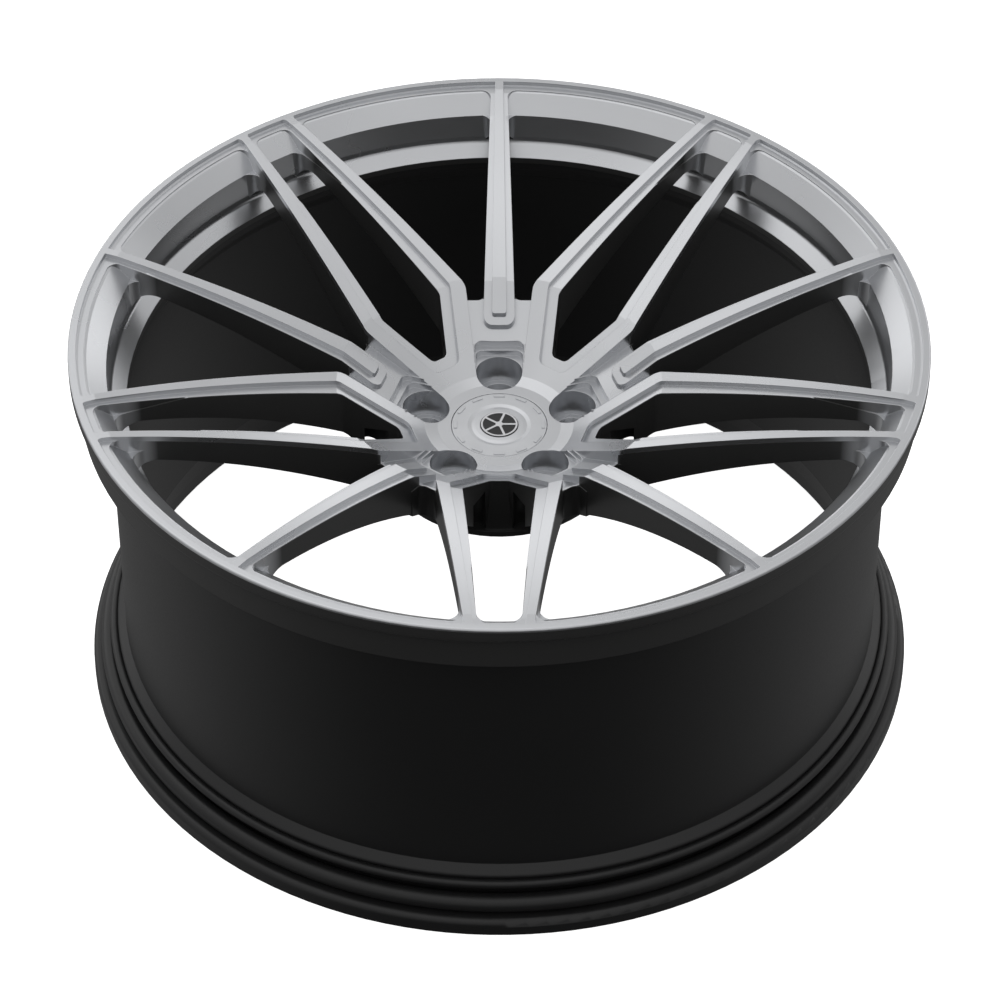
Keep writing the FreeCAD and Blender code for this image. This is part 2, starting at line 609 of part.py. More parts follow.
barrel = new_body("barrel")
turn(barrel, [
    (S.shelf_in_r + S.joint_gap, from_inboard(S.joint_in_depth)),
    (S.shelf_in_r + S.joint_gap, from_inboard(S.shoulder_depth)),
    (S.barrel_in_r, from_inboard(S.barrel_in_depth)),
    (S.barrel_in_r, from_inboard(S.flare_depth)),
    (S.flare_r, from_inboard(S.flare_end_depth)),
    (S.flange_root_r, from_inboard(S.flange_root_depth), S.flange_back_round),
    (S.flange_back_r, ZERO, S.lip_round),
    (S.rim_r, ZERO, S.lip_round),
    (S.rim_r, S.flange_w, S.flange_round),
    (S.bead_r, S.flange_w, S.bead_heel_round),
    (S.bead_toe_r, S.bead_toe_depth, S.hump_round),
    (S.hump_r, S.hump_depth, S.hump_round),
    (S.well_r, S.well_start_depth),
    (S.well_r, from_inboard(S.joint_out_depth + S.weld_half_w)),
    (S.weld_root_r, from_inboard(S.joint_out_depth)),
    (S.rabbet_r, from_inboard(S.joint_out_depth)),
    (S.rabbet_r, from_inboard(S.joint_in_depth)),
])
side_pocket(barrel, "valve_hole", S.valve_hole_r, S.rim_r, S.rim_r - S.barrel_in_r + S.valve_cut_len, True)
side_pocket(barrel, "valve_inner_flat", S.valve_flat_r, S.valve_seat_r, S.valve_cut_len, True)
side_pocket(barrel, "valve_tyre_flat", S.valve_flat_r, S.valve_tyre_r, S.valve_cut_len, False)
place_ring(barrel)

weld = new_body("weld_seam")
turn(weld, [
    (S.weld_root_r, from_inboard(S.joint_out_depth)),
    (S.well_r, from_inboard(S.joint_out_depth + S.weld_half_w)),
    (S.well_r + S.weld_crown, from_inboard(S.joint_out_depth + S.weld_half_w / 2)),
    (S.well_r + S.weld_crown, from_inboard(S.joint_out_depth - S.weld_half_w / 2)),
    (S.well_r, from_inboard(S.joint_out_depth - S.weld_half_w)),
])
place_ring(weld)


# ---------------------------------------------------------------- centre cap

def place_cap(obj, drop):
    """Put a cap piece, drawn up from its own underside, at a depth under the hub's face."""
    place(obj, V(0, 0, height(S.hub_depth + drop)))
    obj.setExpression("Placement.Base.z", (HALF_WIDTH - S.hub_depth - drop).text)


def pad(body, sketch, length, name):
    raised = body.newObject("PartDesign::Pad", name)
    raised.Profile = sketch
    raised.Length = number(length)
    raised.setExpression("Length", length.text)
    doc.recompute()
    return raised


def bar(name, body, low_x, high_x, width, corner=None):
    """Rectangle along +X, centred on the axis, with rounded corners where a radius is given."""
    extra = (corner,) if corner else ()
    plan = [p + extra for p in rectangle(low_x, ZERO - width / 2, high_x, width / 2)]
    return sketch_on(body, "XY_Plane", name, plan)


cap_body = new_body("cap_body")
leg_out = S.cap_leg_r - S.cap_barb_relief
turn(cap_body, [
    (S.cap_leg_in_r, ZERO), (leg_out, ZERO), (S.cap_leg_r, S.cap_barb_h / 2), (S.cap_leg_r, S.cap_barb_h),
    (leg_out, S.cap_barb_h + S.cap_barb_relief), (leg_out, S.cap_leg_len), (S.cap_r, S.cap_leg_len),
    (S.cap_r, S.cap_leg_len + S.cap_flange_h), (ZERO, S.cap_leg_len + S.cap_flange_h), (ZERO, S.cap_leg_len),
    (S.cap_leg_in_r, S.cap_leg_len), (S.cap_leg_in_r, S.cap_barb_h + S.cap_wire_r),
    (S.cap_leg_in_r + S.cap_groove_in, S.cap_barb_h + S.cap_wire_r),
    (S.cap_leg_in_r + S.cap_groove_in, S.cap_barb_h - S.cap_wire_r),
    (S.cap_leg_in_r, S.cap_barb_h - S.cap_wire_r),
])
cap_slot = pocket(cap_body, bar("cap_slot_plan", cap_body, S.cap_leg_in_r - S.cap_wire_r, S.cap_r, S.cap_slot_w),
                  S.cap_slot_len, "cap_slot", True)
polar(cap_body, cap_slot, S.cap_legs, "cap_slots")
place_cap(cap_body, S.cap_seat_h + S.cap_leg_len)

wire = doc.addObject("Part::Torus", "cap_spring_ring")
wire.Label = "cap_spring_ring"
wire.setExpression("Radius1", (S.cap_leg_in_r + S.cap_groove_in - S.cap_wire_r).text)
wire.setExpression("Radius2", S.cap_wire_r.text)
place_cap(wire, S.cap_seat_h + S.cap_leg_len - S.cap_barb_h)

cap_adhesive = new_body("cap_adhesive")
turn(cap_adhesive, rectangle(ZERO, ZERO, S.cap_pad_r, S.cap_pad_h))
place_cap(cap_adhesive, S.cap_plate_h + S.cap_pad_h)

cap_plate = new_body("cap_plate")
badge_seat = S.cap_plate_h - S.badge_seat_h
turn(cap_plate, [
    (ZERO, ZERO), (S.cap_r, ZERO), (S.cap_r, S.cap_plate_h - S.cap_chamfer),
    (S.cap_r - S.cap_chamfer, S.cap_plate_h), (S.cap_dish_out_r, S.cap_plate_h),
    (S.cap_dish_mid_r, S.cap_plate_h - S.cap_dish_h), (S.cap_dish_in_r, S.cap_plate_h - S.cap_dish_in_h),
    (S.badge_r + S.badge_gap, S.cap_plate_h), (S.badge_r + S.badge_gap, badge_seat), (ZERO, badge_seat),
])
dash = pad(cap_plate, bar("cap_dash_plan", cap_plate, S.cap_dash_in_r, S.cap_dash_out_r, S.cap_dash_w,
                          S.cap_dash_round), S.cap_plate_h + S.cap_dash_h, "cap_dash")
polar(cap_plate, dash, S.cap_dashes, "cap_dashes")
place_cap(cap_plate, S.cap_plate_h)

badge_base = new_body("badge_base")
turn(badge_base, [(ZERO, ZERO), (S.badge_r, ZERO), (S.badge_r, S.badge_h - S.badge_chamfer),
                  (S.badge_r - S.badge_chamfer, S.badge_h), (ZERO, S.badge_h)])
place_cap(badge_base, S.badge_seat_h)

emblem = new_body("badge_emblem")
turn(emblem, rectangle(ZERO, ZERO, S.emblem_hub_r, S.emblem_h), name="hub")
emblem_bar = pad(emblem, bar("emblem_bar_plan", emblem, S.emblem_hub_r / 2, S.emblem_in_r + S.badge_seat_h,
                             S.emblem_bar_w), S.emblem_h, "emblem_bar")
polar(emblem, emblem_bar, S.emblem_bars, "emblem_spokes")
turn(emblem, rectangle(S.emblem_in_r, ZERO, S.emblem_out_r, S.emblem_h), name="ring")
place_cap(emblem, S.badge_seat_h - S.badge_h)


# ---------------------------------------------------------------- tyre valve

def place_valve(obj):
    """Stand a valve piece on its seat, its own Z running inward across the wheel."""
    place(obj, V(0, S.valve_seat_r.value, height(S.valve_depth)), FreeCAD.Rotation(V(1, 0, 0), 90))
    obj.setExpression("Placement.Base.y", S.valve_seat_r.text)
    obj.setExpression("Placement.Base.z", (HALF_WIDTH - S.valve_depth).text)


def valve_turned(label, points):
    body = new_body(label)
    turn(body, points)
    place_valve(body)
    return body


def ring(inner, low, outer, high):
    """Section of a plain ring."""
    return rectangle(inner, low, outer, high)


tyre_side = ZERO - (S.valve_tyre_r - S.valve_seat_r)
head_top = tyre_side - S.grommet_h
head_low = head_top - S.stem_head_h
tip_start = S.stem_len - S.stem_tip_len
chamber_r = S.core_r + S.thread_gap

valve_turned("valve_stem", [
    (S.stem_throat_r, head_low), (S.stem_head_r, head_low, S.stem_head_round), (S.stem_head_r, head_top),
    (S.stem_r, head_top), (S.stem_r, tip_start), (S.stem_tip_r, tip_start), (S.stem_tip_r, S.stem_len),
    (chamber_r, S.stem_len), (chamber_r, S.core_seat_len), (S.stem_bore_r, S.core_seat_len),
    (S.stem_bore_r, S.stem_throat_len), (S.stem_throat_r, S.stem_throat_len),
])
valve_turned("valve_grommet", [
    (S.stem_r, head_top), (S.grommet_r, head_top), (S.grommet_r, tyre_side), (S.grommet_neck_r, tyre_side),
    (S.grommet_neck_r, tyre_side + S.grommet_neck_h), (S.stem_r, tyre_side + S.grommet_neck_h),
])
valve_turned("valve_washer", ring(S.stem_r + S.thread_gap, ZERO, S.washer_r, S.washer_h))

nut = new_body("valve_nut")
half_flat = S.nut_corner_r * (math.sqrt(3) / 2)
hexagon = [(S.nut_corner_r, ZERO), (S.nut_corner_r / 2, half_flat), (ZERO - S.nut_corner_r / 2, half_flat),
           (ZERO - S.nut_corner_r, ZERO), (ZERO - S.nut_corner_r / 2, ZERO - half_flat),
           (S.nut_corner_r / 2, ZERO - half_flat)]
pad(nut, sketch_on(nut, "XY_Plane", "nut_plan", hexagon), S.washer_h + S.nut_h, "nut_block")
turn(nut, ring(ZERO, ZERO, S.nut_corner_r + S.washer_h, S.washer_h), "PartDesign::Groove", "nut_foot")
turn(nut, ring(ZERO, ZERO, S.stem_r + S.thread_gap, S.stem_len), "PartDesign::Groove", "nut_bore")
place_valve(nut)

core = new_body("core_body")
turn(core, [
    (S.core_bore_r, S.core_low_len), (S.core_neck_r, S.core_low_len), (S.core_neck_r, S.core_shoulder_len),
    (S.core_r, S.core_shoulder_len), (S.core_r, S.core_top_len), (S.core_mouth_r, S.core_top_len),
    (S.core_mouth_r, S.core_mouth_len), (S.core_bore_r, S.core_mouth_len),
])
bridge_side = sketch_on(core, "XY_Plane", "core_bridge_plan", rectangle(
    ZERO - S.core_r - S.core_bore_r, S.core_bridge_w / 2, S.core_r + S.core_bore_r, S.core_r + S.core_bore_r))
bridge_side.AttachmentOffset = FreeCAD.Placement(V(0, 0, S.core_top_len.value), FreeCAD.Rotation())
bridge_side.setExpression(".AttachmentOffset.Base.z", S.core_top_len.text)
polar(core, pocket(core, bridge_side, S.core_bridge_h, "core_bridge_side"), Dim(2, "2"), "core_bridge")
place_valve(core)

valve_turned("core_gasket", ring(S.core_neck_r, S.core_seat_len, S.core_r, S.core_shoulder_len))
plunger_low = S.core_low_len - S.plunger_h
valve_turned("core_pin", [
    (ZERO, S.pin_low_len), (S.pin_r, S.pin_low_len), (S.pin_r, S.pin_top_len - S.pin_head_h),
    (S.pin_head_r, S.pin_top_len - S.pin_head_h), (S.pin_head_r, S.pin_top_len), (ZERO, S.pin_top_len),
])
valve_turned("pin_seal", ring(S.pin_r, plunger_low, S.plunger_r, S.core_low_len))

spring = new_body("core_spring")
coil_low = S.stem_throat_len + S.spring_wire_r
coil_rise = plunger_low - S.stem_throat_len - S.spring_wire_r * 2
coil_section = circle_sketch(spring, "XZ_Plane", "coil_section", S.spring_wire_r, (S.spring_r, coil_low))
coil = spring.newObject("PartDesign::AdditiveHelix", "coil")
coil.Profile = coil_section
coil.ReferenceAxis = (coil_section, ["V_Axis"])
coil.Mode = "height-turns-angle"
coil.Height = coil_rise.value
coil.setExpression("Height", coil_rise.text)
coil.Turns = S.spring_coils.value
coil.setExpression("Turns", S.spring_coils.text)
doc.recompute()
place_valve(spring)

vcap_inner = S.stem_tip_r + S.vcap_tip_gap
vcap_roof = S.stem_len + S.vcap_seal_h
vcap_top = vcap_roof + S.vcap_top_h
valve_turned("valve_cap_seal", rectangle(ZERO, S.stem_len, S.vcap_seal_r, vcap_roof))
valve_cap = valve_turned("valve_cap", [
    (vcap_inner, S.vcap_start_len), (S.vcap_r, S.vcap_start_len), (S.vcap_r, vcap_top, S.vcap_round),
    (ZERO, vcap_top), (ZERO, vcap_roof), (vcap_inner, vcap_roof),
])
flute_plan = circle_sketch(valve_cap, "XY_Plane", "vcap_flute_plan", S.vcap_flute_r, (S.vcap_flute_at_r, ZERO))
polar(valve_cap, pocket(valve_cap, flute_plan, vcap_roof, "vcap_flute", True), S.vcap_flutes, "vcap_flutes")


# ---------------------------------------------------------------- checks and files

PIECES = [obj for obj in doc.Objects
          if obj.TypeId in ("PartDesign::Body", "Part::Torus") or obj.Name == "forged_face"]


def check_document():
    doc.recompute()
    for obj in doc.Objects:
        if "Invalid" in obj.State or "Error" in obj.State:
            raise RuntimeError("{} is {}".format(obj.Name, obj.State))
    for obj in PIECES:
        if obj.Shape.isNull() or not obj.Shape.isValid() or not obj.Shape.Solids:
            raise RuntimeError("{} has no valid solid".format(obj.Label))


check_document()
for piece in PIECES:
    piece.Shape.exportStep("parts/{}.step".format(piece.Label))
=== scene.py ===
"""Looks of the forged wheel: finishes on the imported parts, the valve's wound spring, studio and camera."""
import math

import bpy
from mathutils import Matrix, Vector


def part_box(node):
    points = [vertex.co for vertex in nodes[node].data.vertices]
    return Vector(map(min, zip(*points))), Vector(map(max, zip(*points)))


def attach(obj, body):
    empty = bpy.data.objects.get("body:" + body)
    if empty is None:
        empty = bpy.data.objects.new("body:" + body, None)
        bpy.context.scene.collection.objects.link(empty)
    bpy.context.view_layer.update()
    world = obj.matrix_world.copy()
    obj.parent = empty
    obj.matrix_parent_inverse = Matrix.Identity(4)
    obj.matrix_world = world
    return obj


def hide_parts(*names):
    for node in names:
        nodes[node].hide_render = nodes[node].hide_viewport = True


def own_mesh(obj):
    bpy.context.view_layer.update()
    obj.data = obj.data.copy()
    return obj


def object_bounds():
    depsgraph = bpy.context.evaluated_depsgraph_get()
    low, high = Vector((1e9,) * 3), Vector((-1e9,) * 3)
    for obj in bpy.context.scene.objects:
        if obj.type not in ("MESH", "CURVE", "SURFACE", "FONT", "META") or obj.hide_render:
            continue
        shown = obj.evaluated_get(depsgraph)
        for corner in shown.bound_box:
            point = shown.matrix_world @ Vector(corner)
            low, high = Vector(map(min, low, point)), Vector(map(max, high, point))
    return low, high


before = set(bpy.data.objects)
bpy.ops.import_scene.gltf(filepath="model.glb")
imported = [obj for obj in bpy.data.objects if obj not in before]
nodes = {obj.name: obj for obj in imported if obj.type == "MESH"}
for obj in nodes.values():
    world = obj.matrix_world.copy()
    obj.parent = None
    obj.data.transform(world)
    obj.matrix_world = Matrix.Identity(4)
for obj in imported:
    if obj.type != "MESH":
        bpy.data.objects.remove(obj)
cad_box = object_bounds()

# All sizes are in metres. LIP is the height of the outboard flange's lip plane above the origin.
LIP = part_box("forged_face")[1].z
SPOKE_SETS = 5

# Section of the raised top surface: distance from the axis, and height from the lip plane, negative below it.
CONE_IN, CONE_OUT = (0.045, -0.0776), (0.1045, -0.0392)
CROWN_MID, CROWN_OUT = (0.160, -0.0218), (0.260, -0.0003)

# Where silver meets black on the forged face. Radii are from the axis and heights from the lip plane.
PAINT_RADIUS, PAINT_FLARE_HEIGHT, PAINT_FLARE_SLOPE = 0.251, 0.015, 1.75
SHELF_RADIUS, SHELF_HEIGHT = 0.2375, -0.0345
RING_WALL_RADIUS, RING_FOOT_HEIGHT = 0.2475, -0.0427
FADE_START, FADE_END = 0.232, 0.248
CROWN_EDGE_DEPTH = 0.0039
WEB_FLOOR_RADIUS, WEB_FLOOR_SLOPE, WEB_FLOOR_HEIGHT = 0.098, 0.507, -0.0541
WEB_RADIUS, WEB_HALF_WIDTH = 0.0995, 0.0222
WELL_REACH, WELL_HALF_WIDTH = 0.0716, 0.0166
HUB_RADIUS, HUB_HEIGHT = 0.032, -0.0815
POCKET_FOOT_HEIGHT = -0.103
BACKWARD_LIMIT = -0.35      # a surface whose normal's z is below this is black

# Rounding that the shading gives to sharp edges.
FACE_EDGE, BARREL_EDGE, PLATE_EDGE, SMALL_EDGE = 0.0005, 0.0006, 0.0003, 0.0002


# ---------------------------------------------------------------- shader building

class Shader:
    """A material's node tree, with short calls for the maths that the masks need."""

    def __init__(self, name):
        self.material = bpy.data.materials.new(name)
        self.material.use_nodes = True
        self.tree = self.material.node_tree
        self.tree.nodes.clear()
        self.out = self.tree.nodes.new("ShaderNodeOutputMaterial")
        self.coords = self.tree.nodes.new("ShaderNodeTexCoord")

    def link(self, source, target):
        self.tree.links.new(source, target)

    def feed(self, socket, value):
        if isinstance(value, bpy.types.NodeSocket):
            self.link(value, socket)
        else:
            socket.default_value = value

    def math(self, operation, a, b=None):
        node = self.tree.nodes.new("ShaderNodeMath")
        node.operation = operation
        self.feed(node.inputs[0], a)
        if b is not None:
            self.feed(node.inputs[1], b)
        return node.outputs[0]

    def split(self, vector):
        node = self.tree.nodes.new("ShaderNodeSeparateXYZ")
        self.link(vector, node.inputs[0])
        return node.outputs[0], node.outputs[1], node.outputs[2]

    def above(self, value, edge, soft):
        """0 below the edge, 1 above it, with a soft step."""
        node = self.tree.nodes.new("ShaderNodeMapRange")
        node.interpolation_type = "SMOOTHSTEP"
        self.feed(node.inputs["Value"], value)
        self.feed(node.inputs["From Min"], edge - soft)
        self.feed(node.inputs["From Max"], edge + soft)
        return node.outputs[0]

    def below(self, value, edge, soft):
        """1 below the edge, 0 above it, with a soft step."""
        return self.math("SUBTRACT", 1.0, self.above(value, edge, soft))

    def both(self, first, *others):
        for other in others:
            first = self.math("MULTIPLY", first, other)
        return first

    def either(self, first, *others):
        for other in others:
            first = self.math("MAXIMUM", first, other)
        return first

    def noise(self, scale, detail=2.0, stretch=None):
        node = self.tree.nodes.new("ShaderNodeTexNoise")
        node.inputs["Scale"].default_value = scale
        node.inputs["Detail"].default_value = detail
        source = self.coords.outputs["Object"]
        if stretch:
            mapping = self.tree.nodes.new("ShaderNodeMapping")
            mapping.inputs["Scale"].default_value = stretch
            self.link(source, mapping.inputs["Vector"])
            source = mapping.outputs[0]
        self.link(source, node.inputs["Vector"])
        return node.outputs["Fac"]

    def remap(self, value, low, high, from_low=0.0, from_high=1.0):
        node = self.tree.nodes.new("ShaderNodeMapRange")
        self.feed(node.inputs["Value"], value)
        for key, number in (("From Min", from_low), ("From Max", from_high), ("To Min", low), ("To Max", high)):
            self.feed(node.inputs[key], number)
        return node.outputs[0]

    def mix(self, factor, first, second, kind="FLOAT"):
        node = self.tree.nodes.new("ShaderNodeMix")
        node.data_type = kind
        for key, value in (("Factor", factor), ("A", first), ("B", second)):
            self.feed(node.inputs[key], value)
        return node.outputs["Result"]

    def blend(self, factor, first, second):
        """A mix of two colours."""
        return self.mix(factor, first, second, "RGBA")

    def rounded(self, radius, samples=4):
        node = self.tree.nodes.new("ShaderNodeBevel")
        node.samples = samples
        node.inputs["Radius"].default_value = radius
        return node.outputs[0]

    def bump(self, height, distance, strength, normal):
        node = self.tree.nodes.new("ShaderNodeBump")
        node.inputs["Strength"].default_value = strength
        node.inputs["Distance"].default_value = distance
        self.link(height, node.inputs["Height"])
        self.link(normal, node.inputs["Normal"])
        return node.outputs[0]

    def surface(self, normal=None, **values):
        node = self.tree.nodes.new("ShaderNodeBsdfPrincipled")
        names = {"color": "Base Color", "metallic": "Metallic", "roughness": "Roughness",
                 "specular": "Specular IOR Level",
                 "glow": "Emission Color", "glow_strength": "Emission Strength"}
        for key, value in values.items():
            self.feed(node.inputs[names[key]], value)
        if normal is not None:
            self.link(normal, node.inputs["Normal"])
        self.link(node.outputs[0], self.out.inputs["Surface"])
        return self.material


def wheel_coordinates(shader):
    """Radius from the axis, height over the lip plane (negative below it) and the plan coordinates."""
    x, y, z = shader.split(shader.coords.outputs["Object"])
    squares = shader.math("ADD", shader.math("MULTIPLY", x, x), shader.math("MULTIPLY", y, y))
    radius = shader.math("SQRT", squares)
    return radius, shader.math("SUBTRACT", z, LIP), x, y


def circle_through(a, b, c):
    """Centre and radius of the circle through three points of the section."""
    (ax, ay), (bx, by), (cx, cy) = a, b, c
    a2, b2, c2 = ax ** 2 + ay ** 2, bx ** 2 + by ** 2, cx ** 2 + cy ** 2
    d = 2 * (ax * (by - cy) + bx * (cy - ay) + cx * (ay - by))
    ux = (a2 * (by - cy) + b2 * (cy - ay) + c2 * (ay - by)) / d
    uy = (a2 * (cx - bx) + b2 * (ax - cx) + c2 * (bx - ax)) / d
    return ux, uy, math.hypot(ax - ux, ay - uy)


def crown_height(shader, radius):
    """Height of the raised top surface at a radius: flat hub, cone, then the shallow arc to the lip."""
    slope = (CONE_OUT[1] - CONE_IN[1]) / (CONE_OUT[0] - CONE_IN[0])
    climb = shader.math("MULTIPLY", shader.math("SUBTRACT", radius, CONE_IN[0]), slope)
    rising = shader.math("MAXIMUM", CONE_IN[1], shader.math("ADD", climb, CONE_IN[1]))
    centre_radius, centre_height, reach = circle_through(CONE_OUT, CROWN_MID, CROWN_OUT)
    off = shader.math("SUBTRACT", radius, centre_radius)
    over_centre = shader.math("SQRT", shader.math("SUBTRACT", reach ** 2, shader.math("MULTIPLY", off, off)))
    arc = shader.math("ADD", over_centre, centre_height)
    on_arc = shader.above(radius, CONE_OUT[0], soft=0.00001)
    return shader.mix(on_arc, rising, shader.math("MINIMUM", arc, 0.0))


def angle_from_single_spoke(shader, x, y):
    """Angle in plan from the middle of the nearest single spoke, in radians."""
    step = 2 * math.pi / SPOKE_SETS
    bearing = shader.math("ARCTAN2", x, y)
    index = shader.math("ROUND", shader.math("DIVIDE", bearing, step))
    return shader.math("SUBTRACT", bearing, shader.math("MULTIPLY", index, step))


def silver_mask(shader):
    """1 on the silver faces, ledges, ring and pockets; 0 on the black walls, backs and tyre side."""
    radius, height, x, y = wheel_coordinates(shader)
    _, _, facing = shader.split(shader.coords.outputs["Normal"])

    # Silver ends at this radius, which flares outward towards the lip.
    over_flare = shader.math("MAXIMUM", shader.math("ADD", height, PAINT_FLARE_HEIGHT), 0.0)
    edge = shader.math("ADD", shader.math("MULTIPLY", over_flare, PAINT_FLARE_SLOPE), PAINT_RADIUS)
    inside_ring = shader.above(shader.math("SUBTRACT", edge, radius), 0.0, soft=0.00005)

    # The ledge and wall of the ring, and the fade on the spoke side walls that run into it.
    shelf = shader.both(shader.above(radius, SHELF_RADIUS, soft=0.0003),
                        shader.below(height, SHELF_HEIGHT, soft=0.0003))
    wall = shader.above(radius, RING_WALL_RADIUS, soft=0.0004)
    fade = shader.remap(radius, 0.0, 1.0, FADE_START, FADE_END)
    near_ring = shader.both(shader.either(shelf, wall, fade),
                            shader.above(height, RING_FOOT_HEIGHT, soft=0.0001))

    # The raised tops of the spokes, the hub and the ring.
    depth = shader.math("SUBTRACT", crown_height(shader, radius), height)
    top = shader.below(depth, CROWN_EDGE_DEPTH, soft=0.0001)

    # The web under each single spoke's root, the lug pockets and the seat of the centre cap.
    angle = angle_from_single_spoke(shader, x, y)
    along = shader.math("MULTIPLY", radius, shader.math("COSINE", angle))
    across = shader.math("ABSOLUTE", shader.math("MULTIPLY", radius, shader.math("SINE", angle)))
    from_start = shader.math("SUBTRACT", radius, WEB_FLOOR_RADIUS)
    floor = shader.math("ADD", shader.math("MULTIPLY", from_start, WEB_FLOOR_SLOPE), WEB_FLOOR_HEIGHT)
    web = shader.both(shader.below(radius, WEB_RADIUS, soft=0.0002),
                      shader.above(shader.math("SUBTRACT", height, floor), 0.0, soft=0.0001),
                      shader.below(across, WEB_HALF_WIDTH, soft=0.0002))
    well = shader.both(shader.below(along, WELL_REACH, soft=0.0001),
                       shader.below(across, WELL_HALF_WIDTH, soft=0.0001))
    hub = shader.both(shader.below(radius, HUB_RADIUS, soft=0.0002),
                      shader.above(height, HUB_HEIGHT, soft=0.0001))
    pocket = shader.both(shader.either(web, well, hub),
                         shader.above(height, POCKET_FOOT_HEIGHT, soft=0.0001))

    upward = shader.above(facing, BACKWARD_LIMIT, soft=0.05)
    return shader.both(shader.either(top, pocket, near_ring), inside_ring, upward)


def face_material():
    shader = Shader("forged_face_two_tone")
    mask = silver_mask(shader)
    cloud = shader.noise(14, 3.0)
    grain = shader.noise(1400, 2.0)
    silver = shader.blend(cloud, (0.60, 0.61, 0.63, 1), (0.68, 0.69, 0.71, 1))
    silver = shader.blend(shader.remap(grain, 0.0, 0.08), silver, (0.78, 0.79, 0.81, 1))
    black = shader.blend(cloud, (0.030, 0.030, 0.0300, 1), (0.040, 0.040, 0.0395, 1))
    color = shader.blend(mask, black, silver)
    rough = shader.mix(mask, shader.remap(grain, 0.34, 0.42), shader.remap(cloud, 0.25, 0.31))
    metallic = shader.math("MULTIPLY", mask, 0.95)
    fine = shader.bump(cloud, 0.0001, 0.2, shader.rounded(FACE_EDGE, 12))
    return shader.surface(fine, color=color, metallic=metallic, roughness=rough, specular=0.5)


def black_metal(name, rings=False):
    """Satin black coat, with faint turning marks under it where the piece was spun."""
    shader = Shader(name)
    cloud = shader.noise(11, 3.0)
    peel = shader.noise(700, 2.0)
    color = shader.blend(cloud, (0.010, 0.010, 0.0103, 1), (0.014, 0.014, 0.0144, 1))
    rough = shader.remap(peel, 0.34, 0.44)
    height = peel
    if rings:
        turned = shader.noise(1.0, 2.0, (0.6, 0.6, 900.0))
        height = shader.math("ADD", peel, turned)
    normal = shader.bump(height, 0.00003, 0.3, shader.rounded(BARREL_EDGE))
    return shader.surface(normal, color=color, roughness=rough, specular=0.5)


def metal(name, low, high, rough, edge=SMALL_EDGE, scale=900, metallic=1.0):
    """Bare or plated metal with fine grain, its colour clouded between low and high."""
    shader = Shader(name)
    grain = shader.noise(scale)
    cloud = shader.noise(60)
    color = shader.blend(cloud, low + (1,), high + (1,))
    roughness = shader.remap(grain, rough - 0.05, rough + 0.07)
    normal = shader.bump(grain, 0.000003, 0.4, shader.rounded(edge))
    return shader.surface(normal, color=color, metallic=metallic, roughness=roughness)


def polymer(name, low, high, rough):
    """Moulded plastic or rubber with its fine surface texture."""
    shader = Shader(name)
    texture = shader.noise(2500, 3.0)
    cloud = shader.noise(40)
    color = shader.blend(cloud, low + (1,), high + (1,))
    roughness = shader.remap(texture, rough - 0.06, rough + 0.08)
    normal = shader.bump(texture, 0.00003, 0.5, shader.rounded(SMALL_EDGE))
    return shader.surface(normal, color=color, roughness=roughness)


NICKEL = (0.52, 0.51, 0.49), (0.60, 0.59, 0.57)
BRASS = (0.60, 0.44, 0.20), (0.68, 0.50, 0.25)
BLACK_RUBBER = (0.012, 0.012, 0.012), (0.02, 0.02, 0.02)

MATERIALS = {
    "forged_face": face_material(),
    "barrel": black_metal("barrel_satin_black", rings=True),
    "weld_seam": black_metal("weld_satin_black"),
    "cap_body": polymer("cap_body_black", (0.018, 0.018, 0.019), (0.03, 0.03, 0.031), 0.5),
    "cap_spring_ring": metal("spring_wire_steel", (0.40, 0.40, 0.41), (0.52, 0.52, 0.53), 0.35),
    "cap_adhesive": polymer("foam_adhesive", (0.07, 0.07, 0.07), (0.11, 0.11, 0.11), 0.85),
    "cap_plate": metal("cap_plate_silver", (0.62, 0.63, 0.65), (0.72, 0.73, 0.75), 0.32,
                        edge=PLATE_EDGE, scale=1600, metallic=0.92),
    "badge_base": polymer("badge_black_enamel", (0.012, 0.012, 0.013), (0.02, 0.02, 0.021), 0.22),
    "badge_emblem": metal("badge_bright_metal", (0.78, 0.78, 0.80), (0.86, 0.86, 0.88), 0.2),
    "valve_stem": metal("valve_stem_alloy", (0.50, 0.50, 0.51), (0.58, 0.58, 0.59), 0.32),
    "valve_grommet": polymer("valve_rubber", *BLACK_RUBBER, 0.7),
    "valve_washer": metal("valve_washer_nickel", *NICKEL, 0.3),
    "valve_nut": metal("valve_nut_nickel", *NICKEL, 0.3),
    "core_body": metal("core_brass", *BRASS, 0.3),
    "core_pin": metal("pin_brass", *BRASS, 0.28),
    "core_spring": metal("core_spring_steel", (0.45, 0.45, 0.46), (0.55, 0.55, 0.56), 0.3),
    "core_gasket": polymer("gasket_rubber", (0.10, 0.02, 0.015), (0.15, 0.03, 0.02), 0.65),
    "pin_seal": polymer("pin_seal_rubber", *BLACK_RUBBER, 0.7),
    "valve_cap": polymer("valve_cap_plastic", (0.014, 0.014, 0.015), (0.024, 0.024, 0.025), 0.45),
    "valve_cap_seal": polymer("cap_seal_rubber", (0.02, 0.02, 0.02), (0.03, 0.03, 0.03), 0.7),
}
for node_name, material in MATERIALS.items():
    slots = nodes[node_name].data.materials
    slots.clear()
    slots.append(material)


def add_object(name, data):
    obj = bpy.data.objects.new(name, data)
    bpy.context.scene.collection.objects.link(obj)
    return obj


# ---------------------------------------------------------------- valve spring

